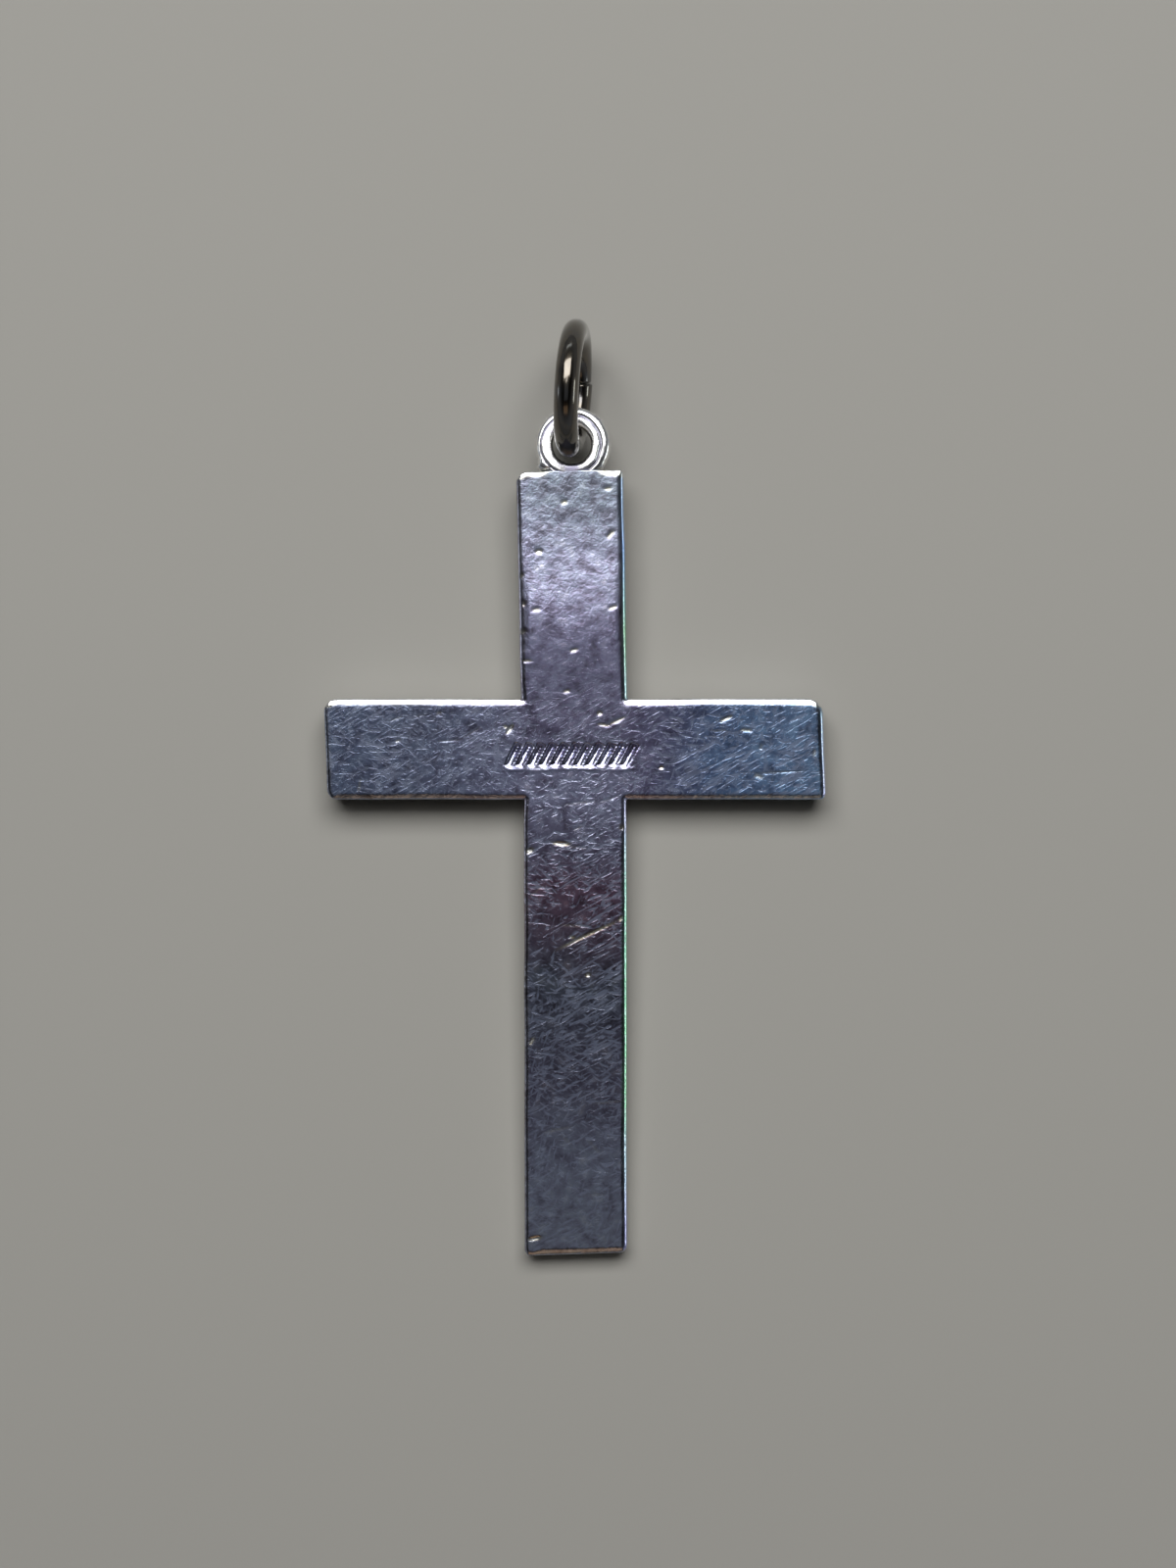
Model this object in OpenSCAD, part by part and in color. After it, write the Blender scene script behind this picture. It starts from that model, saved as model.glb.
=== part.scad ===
// A flat cross pendant lying face down, its back uppermost, with its head end held up by
// the jump ring that stands in the eyelet. +Z is up, +Y runs from the foot to the ring, and
// the origin is on the surface that it lies on, under the middle of its bounding box.

/* [Plate] */
// Length of the upright from foot edge to head edge
plate_len = 30.85; // [26:0.05:36]
// Span across both arms
plate_span = 19.6; // [16:0.1:24]
// Distance from the head edge down to the centre line of the arms
head_len = 10.9; // [8.5:0.1:13]
// Thickness of the plate
plate_t = 1.0; // [0.85:0.05:1.3]
// Width of the upright below the arms
foot_w = 4.05; // [3.4:0.05:4.8]
// Width of the upright above the arms
head_w = 4.2; // [3.4:0.05:4.8]
// Width of the two arms
arm_w = 3.95; // [3.4:0.05:4.8]
// Lean of the head towards -X within the plate, in degrees
head_lean = 1.1; // [0:0.1:2]

/* [Edges] */
// Radius of the worn edge round the back face
back_rim_r = 0.25; // [0.15:0.01:0.28]
// Radius of the edge round the front face
front_rim_r = 0.2; // [0.12:0.01:0.28]
// Radius of the corners at the ends of the arms, seen from above
arm_corner_r = 0.42; // [0.3:0.01:0.8]
// Radius of the corners at the foot, seen from above
foot_corner_r = 0.3; // [0.3:0.01:0.8]
// Radius of the corners at the head, seen from above
head_corner_r = 0.3; // [0.3:0.01:0.8]

/* [Eyelet] */
// Thickness of the eyelet's round wire
eyelet_wire_d = 0.72; // [0.6:0.01:0.85]
// Outside diameter of the eyelet
eyelet_od = 2.95; // [2.75:0.05:3.3]
// How far the eyelet is let into the head edge
eyelet_bite = 0.44; // [0.2:0.01:0.5]
// Depth of the eyelet's crest below the back face
eyelet_sink = 0.03; // [0.01:0.01:0.08]
// Distance of the eyelet from the middle of the head, towards +X
eyelet_shift = 0.12; // [-0.2:0.01:0.2]
// Radius of the solder fillet in each notch between eyelet and head edge
solder_r = 0.3; // [0.2:0.01:0.4]
// Thickness of the solder fillets
solder_t = 0.24; // [0.15:0.01:0.26]

/* [Struck mark] */
// Number of plain slanting strokes in the struck row
mark_count = 11; // [7:1:13]
// Distance from one stroke to the next
mark_pitch = 0.45; // [0.38:0.01:0.52]
// Length of a stroke
mark_stroke_len = 0.95; // [0.5:0.05:1.1]
// Width of a stroke
mark_stroke_w = 0.2; // [0.12:0.01:0.22]
// Slant of the strokes, their tops towards +X, in degrees
mark_slant = 28; // [0:1:35]
// Depth of the strokes
mark_depth = 0.12; // [0.05:0.01:0.2]
// Distance of the row from the centre line of the arms, towards the foot
mark_drop = 0.25; // [-0.2:0.05:0.4]
// Distance of the row from the centre line of the upright, towards -X
mark_shift = 0.15; // [-0.5:0.05:0.5]

/* [Jump ring] */
// Thickness of the ring's round wire
ring_wire_d = 0.95; // [0.8:0.01:1.0]
// Outside diameter of the ring
ring_od = 5.4; // [5:0.05:6.2]
// Lean of the standing ring's top towards -X, in degrees
ring_lean = 6; // [0:0.5:8]
// Turn of the ring about the vertical, its eyelet side going towards -X, in degrees
ring_turn = 4; // [0:0.5:6]
// Distance along Y from the eyelet's centre to the ring's centre
ring_reach = 2.11; // [1.95:0.01:2.2]
// Distance of the ring's centre from the eyelet's, towards +X
ring_shift = 0.03; // [-0.08:0.01:0.12]
// Width of the cut where the ring was closed
ring_cut = 0.06; // [0.03:0.01:0.15]
// Place of the cut, in degrees from the ring's lowest point towards +Y
ring_cut_at = 13; // [8:1:40]
// Least gap between the ring's wire and the eyelet's
wire_gap = 0.05; // [0.03:0.01:0.1]

/* [Hidden] */
$fn = 96;

// How far a cutting shape stands past the face that it cuts
past = 0.5;
// Share of its radius that a solder fillet is sunk into the head edge, so that it bites
solder_sunk = 0.1;

foot_len = plate_len - head_len;
eyelet_wire_r = eyelet_wire_d / 2;
eyelet_mean_r = eyelet_od / 2 - eyelet_wire_r;
// Height of the eyelet's centre beyond the head edge, and above the plate's middle plane
eyelet_rise = eyelet_od / 2 - eyelet_bite;
eyelet_level = plate_t / 2 - eyelet_sink - eyelet_wire_r;

ring_wire_r = ring_wire_d / 2;
ring_mean_r = ring_od / 2 - ring_wire_r;
ring_centre_z = ring_mean_r * cos(ring_lean) + ring_wire_r;

// The eyelet's upper arc sits just clear inside the lower half of the standing ring
arc_beside = ring_reach - eyelet_mean_r;
arc_reach = ring_mean_r - ring_wire_r - eyelet_wire_r - wire_gap;
arc_below = sqrt(arc_reach * arc_reach - arc_beside * arc_beside);
eyelet_z = ring_centre_z - arc_below * cos(ring_lean);

// The plate rocks on the round of its front edge at the foot until the eyelet is that high
pivot_v = front_rim_r - foot_len;
pivot_w = front_rim_r - plate_t / 2;
lever = (head_len + eyelet_rise) * cos(head_lean) - pivot_v;
tilt = asin((eyelet_z - front_rim_r - eyelet_level + pivot_w) / lever);

// Across the plate, the eyelet follows the lean of the head
eyelet_x = eyelet_shift * cos(head_lean) - (head_len + eyelet_rise) * sin(head_lean);
eyelet_y = lever * cos(tilt) - (eyelet_level - pivot_w) * sin(tilt);
ring_x = eyelet_x + ring_shift;
ring_y = eyelet_y + ring_reach;

// Ends of the whole along Y, counted from the pivot, and the middle between them
foot_end_y = (back_rim_r - front_rim_r) * cos(tilt)
    - (plate_t - back_rim_r - front_rim_r) * sin(tilt) - back_rim_r;
ring_end_y = ring_y + ring_wire_r
    + ring_mean_r * sqrt(1 - pow(cos(ring_lean) * sin(ring_turn), 2));
middle_y = (foot_end_y + ring_end_y) / 2;

// Arms of the cross: the way each one points, its length, width and corner radius
ARM_TABLE = [
    // turn, length, width, corner
    [-90, plate_span / 2, arm_w, arm_corner_r],
    [90, plate_span / 2, arm_w, arm_corner_r],
    [180, foot_len, foot_w, foot_corner_r],
    [head_lean, head_len, head_w, head_corner_r]
];

// What is cut away outside a quarter round of radius r, at a corner that ends at x
module outside_of_round(r, x) {
    difference() {
        translate([x - r, -r]) square([r + past, r + past]);
        translate([x - r, -r]) circle(r);
    }
}

// Cutter for the edges round one end of an arm, with the face that they border at z = 0
module edge_cutter(length, width, corner, r) {
    run = length - corner + past;
    for (side = [0, 1]) mirror([side, 0, 0]) {
        translate([0, length - corner, 0]) rotate([90, 0, 0])
            linear_extrude(run) outside_of_round(r, width / 2);
        translate([width / 2 - corner, length - corner, 0])
            rotate_extrude(angle = 90) outside_of_round(r, corner);
    }
    translate([corner - width / 2, 0, 0]) rotate([90, 0, 90])
        linear_extrude(width - 2 * corner) outside_of_round(r, length);
}

// Outline of an arm that starts square on the middle of the cross and ends in two corners
module arm_outline(length, width, corner) {
    translate([-width / 2, 0]) square([width, length - corner]);
    translate([corner - width / 2, 0]) square([width - 2 * corner, length]);
    for (side = [-1, 1])
        translate([side * (width / 2 - corner), length - corner]) circle(corner);
}

// One arm with its back and front edges rounded
module arm(length, width, corner) {
    reach = max(corner, back_rim_r, front_rim_r);
    difference() {
        linear_extrude(plate_t, center = true) arm_outline(length, width, reach);
        translate([0, 0, plate_t / 2]) edge_cutter(length, width, reach, back_rim_r);
        mirror([0, 0, 1]) translate([0, 0, plate_t / 2])
            edge_cutter(length, width, reach, front_rim_r);
    }
}

// The four arms in one piece
module plate() {
    for (row = ARM_TABLE) rotate([0, 0, row[0]]) arm(row[1], row[2], row[3]);
}

// Round wire ring with its lower arc let into the head edge
module eyelet() {
    rotate_extrude() translate([eyelet_mean_r, 0]) circle(eyelet_wire_r);
}

// Solder that fills the two notches between the eyelet and the head edge, seen flat, with
// the eyelet's centre at the origin
module solder_outline() {
    rise = solder_r * (1 - solder_sunk);
    reach = eyelet_mean_r + solder_r;
    fillet_y = rise - eyelet_rise;
    fillet_x = sqrt(reach * reach - fillet_y * fillet_y);
    touch = eyelet_mean_r / reach;
    difference() {
        polygon([
            [-fillet_x, -eyelet_rise - eyelet_bite],
            [fillet_x, -eyelet_rise - eyelet_bite],
            [fillet_x, -eyelet_rise],
            [fillet_x * touch, fillet_y * touch],
            [-fillet_x * touch, fillet_y * touch],
            [-fillet_x, -eyelet_rise]
        ]);
        for (side = [-1, 1]) translate([side * fillet_x, fillet_y]) circle(solder_r);
        circle(eyelet_mean_r);
    }
}

// Row of plain slanting strokes, each one sunk into the back face
module struck_mark() {
    translate([-mark_shift, -mark_drop, plate_t / 2 - mark_depth])
        linear_extrude(mark_depth + past) for (i = [0 : mark_count - 1])
            translate([(i - (mark_count - 1) / 2) * mark_pitch, 0]) rotate([0, 0, -mark_slant])
                square([mark_stroke_w, mark_stroke_len], center = true);
}

// Plate, eyelet and solder as the one solid that soldering makes of them
module cross() {
    color([0.42, 0.42, 0.5])
    translate([0, -middle_y, front_rim_r]) rotate([tilt, 0, 0])
        translate([0, -pivot_v, -pivot_w]) difference() {
            union() {
                plate();
                rotate([0, 0, head_lean])
                    translate([eyelet_shift, head_len + eyelet_rise, eyelet_level]) {
                        eyelet();
                        linear_extrude(solder_t, center = true) solder_outline();
                    }
            }
            struck_mark();
        }
}

// Round wire ring, cut once and closed, standing in the eyelet
module jump_ring() {
    color([0.16, 0.16, 0.16])
    translate([ring_x, ring_y - middle_y, ring_centre_z])
        rotate([0, 0, -ring_turn]) rotate([0, 90 - ring_lean, 0]) difference() {
            rotate_extrude() translate([ring_mean_r, 0]) circle(ring_wire_r);
            rotate([0, 0, ring_cut_at]) translate([ring_mean_r, 0, 0])
                cube([ring_wire_d + past, ring_cut, ring_wire_d + past], center = true);
        }
}

cross();
jump_ring();
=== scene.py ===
from math import cos, pi, radians, sin, tan

import bpy
import numpy as np
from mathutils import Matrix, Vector


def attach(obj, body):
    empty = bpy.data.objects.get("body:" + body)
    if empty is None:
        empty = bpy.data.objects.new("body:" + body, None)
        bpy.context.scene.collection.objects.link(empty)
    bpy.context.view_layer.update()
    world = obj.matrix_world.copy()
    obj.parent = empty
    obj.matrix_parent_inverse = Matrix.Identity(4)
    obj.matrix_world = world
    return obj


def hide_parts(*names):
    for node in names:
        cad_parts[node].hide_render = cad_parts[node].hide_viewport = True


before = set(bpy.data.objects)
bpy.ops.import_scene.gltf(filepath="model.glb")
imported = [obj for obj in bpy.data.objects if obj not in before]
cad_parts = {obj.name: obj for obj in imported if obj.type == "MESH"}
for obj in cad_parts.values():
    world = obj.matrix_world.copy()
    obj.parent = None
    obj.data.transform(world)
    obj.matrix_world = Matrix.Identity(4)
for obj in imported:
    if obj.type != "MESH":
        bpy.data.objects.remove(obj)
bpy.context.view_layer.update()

# THE PLATE. A flat Latin cross sawn from 1 mm silver sheet, back uppermost, with edges that
# wear has rounded. Its back is bowed a little under the head, struck across the middle with
# a row of plain strokes, and nicked and scuffed all over. Sizes are in millimetres.
plate_length = 30.85
head_length = 10.9
arm_reach = 9.8
plate_thickness = 1.0
foot_half = 2.025
head_half = 2.1
arm_half = 1.975
foot_length = plate_length - head_length
head_lean = radians(1.1)
back_rim = 0.25
front_rim = 0.2

# One millimetre in the scene's metres, and a distance so small that it counts as none
MM = 0.001
hair = 1e-4

# Cells of the back face's grid, which is finer from below to above the struck row
cell = 0.062
fine_cell = 0.03
fine_below = 0.63
fine_above = 0.57
rim_lines = 8


def spaced_lines(stops, size, fine):
    """Grid lines about one size apart from the first stop to the last, and the fine ones that
    are given. On the inner side of each stop, 1 being after it and -1 before, the lines close
    up over the back rim's width, as r(1 - cos a)."""
    steps = back_rim * (1 - np.cos(np.linspace(0, pi / 2, rim_lines)))
    lines = [fine] + [stop + side * steps for stop, side in stops]
    for (start, start_side), (end, end_side) in zip(stops[:-1], stops[1:]):
        low = start + back_rim * max(start_side, 0)
        high = end + back_rim * min(end_side, 0)
        lines.append(np.linspace(low, high, round((high - low) / size) + 1))
    return np.unique(np.round(np.concatenate(lines), 5))


def smooth_noise(x, y, size, seed):
    """Random heights from -1 to 1 at the corners of square cells, blended across each cell
    by 3t^2 - 2t^3. They repeat after 64 cells."""
    repeat = 64
    heights = np.random.default_rng(seed).uniform(-1, 1, (repeat, repeat))
    i, j = np.floor(x / size).astype(int), np.floor(y / size).astype(int)
    s, t = x / size - i, y / size - j
    s, t = s * s * (3 - 2 * s), t * t * (3 - 2 * t)
    i, j, next_i, next_j = i % repeat, j % repeat, (i + 1) % repeat, (j + 1) % repeat
    near = heights[i, j] * (1 - s) + heights[next_i, j] * s
    far = heights[i, next_j] * (1 - s) + heights[next_i, next_j] * s
    return near * (1 - t) + far * t


def edge_distance(x, y):
    """Distance in from the outline: to the nearest side on an arm, and to the inner corner's
    point where the arms cross."""
    beside = np.maximum(foot_half - np.abs(x), 0)
    above = np.maximum(arm_half - np.abs(y), 0)
    ends = np.minimum(arm_reach - np.abs(x), np.minimum(head_length - y, foot_length + y))
    return np.minimum(np.hypot(beside, above), ends)


# Slopes by which the ends are cut out of square, with the heights from which those of the
# upright's ends come in and over how far, and how far the edges waver
arm_end_skew = 0.026
head_end_skew = 0.02
head_skew_from = 8.5
head_skew_run = 2.3
foot_end_skew = 0.03
foot_skew_from = 18.5
foot_skew_run = 1.4
edge_wave = 0.012

# Corners of the outline, seen from above
CORNERS = [
    # x, y, radius
    (-arm_reach, arm_half, 0.54), (-arm_reach, -arm_half, 0.40),
    (arm_reach, arm_half, 0.58), (arm_reach, -arm_half, 0.24),
    (-foot_half, -foot_length, 0.25), (foot_half, -foot_length, 0.30),
    (-foot_half, head_length, 0.45), (foot_half, head_length, 0.14),
]


def plan_position(x, y):
    """Carries the square-cornered grid to the real outline: each corner square is drawn in
    to a quarter circle, p max(a, b) / |p|, then the head widens and leans, the ends are cut
    askew and the edges waver."""
    for corner_x, corner_y, radius in CORNERS:
        side_x, side_y = np.sign(corner_x), np.sign(corner_y)
        a = side_x * x - abs(corner_x) + radius
        b = side_y * y - abs(corner_y) + radius
        inside = (a > 0) & (b > 0)
        pull = np.where(inside, np.maximum(a, b) / np.maximum(np.hypot(a, b), 1e-9), 1)
        x = np.where(inside, side_x * (abs(corner_x) - radius + a * pull), x)
        y = np.where(inside, side_y * (abs(corner_y) - radius + b * pull), y)
    rise = np.clip((y + arm_half) / (2 * arm_half), 0, 1)
    half = foot_half + (head_half - foot_half) * rise
    outside = np.maximum(np.abs(x) - foot_half, 0) * (arm_reach - half) / (arm_reach - foot_half)
    wide_x = np.sign(x) * (np.minimum(np.abs(x), foot_half) * half / foot_half + outside)
    lean_y = np.where(y > arm_half, y, np.square(rise) * arm_half)
    near_head = np.clip((y - head_skew_from) / head_skew_run, 0, 1) ** 2
    near_foot = np.clip((-y - foot_skew_from) / foot_skew_run, 0, 1) ** 2
    new_x = wide_x - tan(head_lean) * lean_y - arm_end_skew * y * np.square(x / arm_reach)
    new_x = new_x + edge_wave * smooth_noise(x, y, size=1.9, seed=11)
    new_y = y + head_end_skew * x * near_head + foot_end_skew * x * near_foot
    new_y = new_y + edge_wave * smooth_noise(x, y, size=1.7, seed=12)
    return new_x, new_y


def facing_side(x, y):
    """1 where the nearest edge faces left or right, 0 where it faces up or down, a short blend
    at the outer corners, and s / (s + t) round an inner corner, from the distances to the two
    lines that meet there."""
    mitre = 0.1
    on_arm = np.abs(x) > foot_half + hair
    to_side = np.where(on_arm, arm_reach, foot_half) - np.abs(x)
    to_end = np.where(on_arm, arm_half - np.abs(y), np.minimum(head_length - y, foot_length + y))
    beside, above = foot_half - np.abs(x), arm_half - np.abs(y)
    round_corner = beside / np.maximum(beside + above, 1e-6)
    crossing = (beside >= -hair) & (above >= -hair)
    return np.clip(np.where(crossing, round_corner, (to_end - to_side) / mitre + 0.5), 0, 1)


def rim_drop(distance, radius, side_facing):
    """Depth of the worn edge, u = r - d in from its upper line: a facet that falls by
    g (sqrt(u^2 + e^2) - e), a steeper one over its outer part along the sides, and a quarter
    round of radius q over the last q of it."""
    fall, ease, steeper = 0.27, 0.02, 0.56
    steeper_from, round_share = 0.58, 0.2
    inward = np.clip(radius - distance, 0, radius)
    outer = inward - steeper_from * radius
    small = round_share * radius
    last = np.clip(inward - radius + small, 0, small)
    facet = fall * (np.hypot(inward, ease) - ease)
    facet = facet + steeper * side_facing * np.maximum(outer, 0)
    return facet + small - np.sqrt(np.maximum(small ** 2 - last ** 2, 0))


# The struck row of plain slanting strokes. A stroke's floor slopes down from a quarter of its
# depth over a share of its length, its walls have a width of their own, and a low burr lies
# along the row's lower side.
stroke_count = 11
stroke_pitch = 0.45
stroke_length = 0.95
stroke_width = 0.2
stroke_slant = radians(28)
stroke_depth = 0.12
stroke_start = 0.25
stroke_ramp = 0.62
stroke_uneven = 0.15
stroke_wall = 0.09
row_middle = (-0.15, -0.25)
burr_height = 0.010
burr_width = 0.07
burr_drop = 0.06
burr_wander = 0.06
burr_reach = 2.6
burr_fade = 0.3


def struck_depth(x, y):
    """Depth of the struck row: in each slanting stroke a floor that slopes down from its lower
    end and is level in its upper part, between sloping walls, and a low uneven burr along the
    lower ends of the strokes."""
    across, along = x - row_middle[0], y - row_middle[1]
    number = np.round((across - along * tan(stroke_slant)) / stroke_pitch)
    number = np.clip(number, -(stroke_count - 1) / 2, (stroke_count - 1) / 2)
    across = across - number * stroke_pitch
    side = np.abs(across * cos(stroke_slant) - along * sin(stroke_slant)) - stroke_width / 2
    end = np.abs(across * sin(stroke_slant) + along * cos(stroke_slant)) - stroke_length / 2
    edge = np.maximum(side, end)
    ramp = np.clip((along / stroke_length + 0.5) / stroke_ramp, 0, 1)
    worn = stroke_start + stroke_uneven * smooth_noise(x, y, size=0.6, seed=21)
    worn = worn + 0.8 * ramp * (1.2 - 0.2 * ramp)
    from_burr = along + stroke_length / 2 + burr_drop
    from_burr = from_burr + burr_wander * smooth_noise(x, y, size=0.8, seed=22)
    uneven = 0.6 + 0.6 * smooth_noise(x, y, size=0.5, seed=23)
    in_row = np.clip(burr_reach - np.abs(x - row_middle[0]), 0, burr_fade) / burr_fade
    burr = burr_height * np.exp(-(from_burr / burr_width) ** 2) * uneven * in_row
    return stroke_depth * worn * np.clip(0.5 - edge / stroke_wall, 0, 1) - burr


# Nicks and single scratches, from the middle of the cross, with angles in degrees. The
# width and depth that show are shares of the table's, and a nick this deep is quite bare.
nick_width_share = 0.4
nick_depth_share = 0.8
bare_depth = 0.034
NICKS = [
    # x, y, length, width, angle, depth
    (0.50, -8.87, 0.17, 0.15, 0, 0.040), (-0.54, -3.71, 0.62, 0.14, -4, 0.035),
    (0.05, -3.85, 0.80, 0.10, -8, 0.010), (0.12, -3.10, 0.36, 0.10, 30, 0.012),
    (0.96, 1.42, 0.18, 0.16, 0, 0.045), (1.10, 0.96, 0.42, 0.10, -8, 0.030),
    (1.62, 1.12, 0.62, 0.10, 24, 0.030), (-2.50, 0.79, 0.42, 0.14, 55, 0.040),
    (-2.66, 0.88, 0.20, 0.12, -40, 0.030), (5.92, 1.20, 0.48, 0.12, 22, 0.035),
    (6.72, 0.75, 0.44, 0.14, -3, 0.025), (5.60, 0.72, 0.60, 0.10, 0, 0.012),
    (7.90, -0.90, 2.00, 0.09, 3, 0.012), (7.20, -1.06, 0.36, 0.20, -20, 0.020),
    (-1.23, 7.75, 0.22, 0.17, 0, 0.040), (0.02, 3.90, 0.28, 0.13, 15, 0.035),
    (-1.62, -19.30, 0.52, 0.14, 8, 0.040), (-1.73, -11.50, 0.30, 0.13, 60, 0.030),
    (0.50, -7.30, 2.30, 0.13, 25.7, 0.026), (0.20, -2.12, 1.20, 0.09, 6, 0.011),
    (1.30, -2.00, 0.90, 0.09, 22, 0.009), (-1.80, -3.98, 0.30, 0.22, 20, 0.030),
    (-0.05, -6.95, 0.95, 0.10, -2, 0.012), (-0.10, -7.40, 0.24, 0.13, -12, 0.025),
    (1.78, -6.65, 0.20, 0.16, 60, 0.030), (1.85, -3.05, 0.22, 0.24, 80, 0.025),
    (-6.94, 0.33, 0.18, 0.12, 30, 0.018), (-4.90, 0.33, 0.90, 0.09, 4, 0.009),
    (-4.00, 0.66, 0.90, 0.09, 30, 0.008), (-5.26, 1.42, 0.22, 0.17, 10, 0.012),
    (-6.95, 1.20, 0.50, 0.10, 20, 0.010), (-6.00, 1.32, 0.50, 0.10, 8, 0.008),
    (-8.50, -1.42, 0.50, 0.10, 78, 0.014), (3.37, -0.73, 0.15, 0.14, 0, 0.035),
    (7.30, 0.10, 0.28, 0.18, 70, 0.014), (9.40, -0.13, 0.30, 0.12, 85, 0.020),
    (-0.28, 2.28, 0.24, 0.13, 12, 0.030), (-0.25, 9.68, 0.22, 0.16, 20, 0.025),
    (-1.90, 6.80, 0.20, 0.15, 70, 0.030), (-1.84, 5.70, 0.24, 0.13, 80, 0.025),
    (-1.90, 4.62, 0.24, 0.22, 60, 0.030), (-1.78, 3.48, 0.40, 0.10, 0, 0.030),
    (-1.38, 5.48, 0.28, 0.11, 5, 0.025), (1.53, 5.56, 0.30, 0.13, 20, 0.030),
    (1.50, 8.44, 0.36, 0.16, 50, 0.025), (1.42, 10.20, 0.26, 0.15, 10, 0.020),
    (-1.55, -5.60, 0.70, 0.09, 40, 0.010), (0.80, -17.6, 0.80, 0.09, 4, 0.008),
    (-0.70, -15.0, 1.10, 0.10, 12, 0.010), (-0.35, -15.4, 0.50, 0.10, -45, 0.010),
    (0.75, -15.7, 0.70, 0.10, -50, 0.010), (1.35, -13.9, 1.20, 0.09, 6, 0.010),
]


def nicks_at(x, y):
    """Depth of all the nicks together, and how far each point is scraped bare. A nick is
    exp(-a^4 - b^2), with a in half lengths along it and b in its width's share across."""
    depth, bare = np.zeros_like(x), np.zeros_like(x)
    for nick_x, nick_y, length, width, angle, deep in NICKS:
        turn = radians(angle)
        a = ((x - nick_x) * cos(turn) + (y - nick_y) * sin(turn)) / (length / 2)
        b = ((y - nick_y) * cos(turn) - (x - nick_x) * sin(turn)) / (nick_width_share * width)
        shape = np.exp(-np.minimum(a ** 4 + b ** 2, 50))
        depth = depth + nick_depth_share * deep * shape
        bare = np.maximum(bare, shape * min(1, (deep / bare_depth) ** 1.5))
    return depth, bare


# Where the plate lies: its tilt, and the middle of the cross half way through its thickness
tilt = radians(2.1438)
cross_y = 1.6103
cross_z = 1.2386


def on_the_floor(points):
    """Turns points of the lying plate by its tilt, sets them in place and gives metres."""
    x, y, z = points[..., 0], points[..., 1], points[..., 2]
    laid = (x, cross_y + y * cos(tilt) - z * sin(tilt), cross_z + y * sin(tilt) + z * cos(tilt))
    return np.stack(laid, -1) * MM


def make_piece(name, points, corners, sizes):
    """A smooth mesh object from its points, each face's corners in one row, and the number
    of corners of each face."""
    mesh = bpy.data.meshes.new(name)
    mesh.vertices.add(len(points))
    mesh.vertices.foreach_set("co", points.astype(np.float32).ravel())
    mesh.loops.add(len(corners))
    mesh.loops.foreach_set("vertex_index", corners.astype(np.int32))
    mesh.polygons.add(len(sizes))
    starts = np.concatenate([[0], np.cumsum(sizes)[:-1]])
    mesh.polygons.foreach_set("loop_start", starts.astype(np.int32))
    mesh.polygons.foreach_set("use_smooth", np.ones(len(sizes), bool))
    mesh.update(calc_edges=True)
    mesh.validate()
    piece = bpy.data.objects.new(name, mesh)
    bpy.context.scene.collection.objects.link(piece)
    return piece


def keep_values(piece, name, values):
    """Keeps one value for each point of the piece, as an attribute that its material reads."""
    attribute = piece.data.attributes.new(name, "FLOAT", "POINT")
    attribute.data.foreach_set("value", values.astype(np.float32).ravel())


# The back face is a grid over the cross, finer along the struck row
x_stops = [(-arm_reach, 1), (-foot_half, 1), (foot_half, -1), (arm_reach, -1)]
y_stops = [(-foot_length, 1), (-arm_half, 1), (arm_half, -1), (head_length, -1)]
row_lines = np.arange(row_middle[1] - fine_below, row_middle[1] + fine_above, fine_cell)
x_lines = spaced_lines(x_stops, cell, [])
y_lines = spaced_lines(y_stops, cell, row_lines)
left, right = np.searchsorted(x_lines, [-foot_half - hair, foot_half - hair])
low, high = np.searchsorted(y_lines, [-arm_half - hair, arm_half - hair])
last_x, last_y = len(x_lines) - 1, len(y_lines) - 1
i, j = np.meshgrid(np.arange(last_x + 1), np.arange(last_y + 1), indexing="ij")
on_cross = ((i >= left) & (i <= right)) | ((j >= low) & (j <= high))
number = np.cumsum(on_cross.ravel()).reshape(on_cross.shape) - 1
grid_x, grid_y = x_lines[i[on_cross]], y_lines[j[on_cross]]
centre_i, centre_j = i[:-1, :-1] + 0.5, j[:-1, :-1] + 0.5
filled = ((centre_i > left) & (centre_i < right)) | ((centre_j > low) & (centre_j < high))
back_quads = np.stack([number[:-1, :-1], number[1:, :-1], number[1:, 1:], number[:-1, 1:]], -1)
back_quads = back_quads[filled]

# The eyelet's place right of the head's middle, and how far the solder reaches along the
# edge from there, fading, and in from it
eyelet_shift = 0.12
solder_reach = 1.3
solder_fade = 0.4
solder_in = 0.6

# The rim is narrow at the solder, and narrower by these shares along the upright's left side
# and at the left arm's end
narrow_on_upright = 0.28
narrow_on_arm = 0.42
distance = edge_distance(grid_x, grid_y)
facing = facing_side(grid_x, grid_y)
near_solder = np.clip((solder_reach - np.abs(grid_x - eyelet_shift)) / solder_fade, 0, 1)
soldered = near_solder * (grid_y > head_length - solder_in)
off_arms = np.clip((np.abs(grid_y) - arm_half) / 0.6, 0, 1)
upright_left = np.clip((-1.3 - grid_x) / 0.3, 0, 1)
arm_left_end = np.clip((0.4 - arm_reach - grid_x) / 0.15, 0, 1)
less_worn = narrow_on_upright * off_arms * upright_left + narrow_on_arm * arm_left_end
rim_here = back_rim * (0.95 + 0.12 * smooth_noise(grid_x, grid_y, size=1.3, seed=31))
rim_here = rim_here * (1 - 0.9 * soldered) * (1 - less_worn)
nick_depth, bare = nicks_at(grid_x, grid_y)

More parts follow.
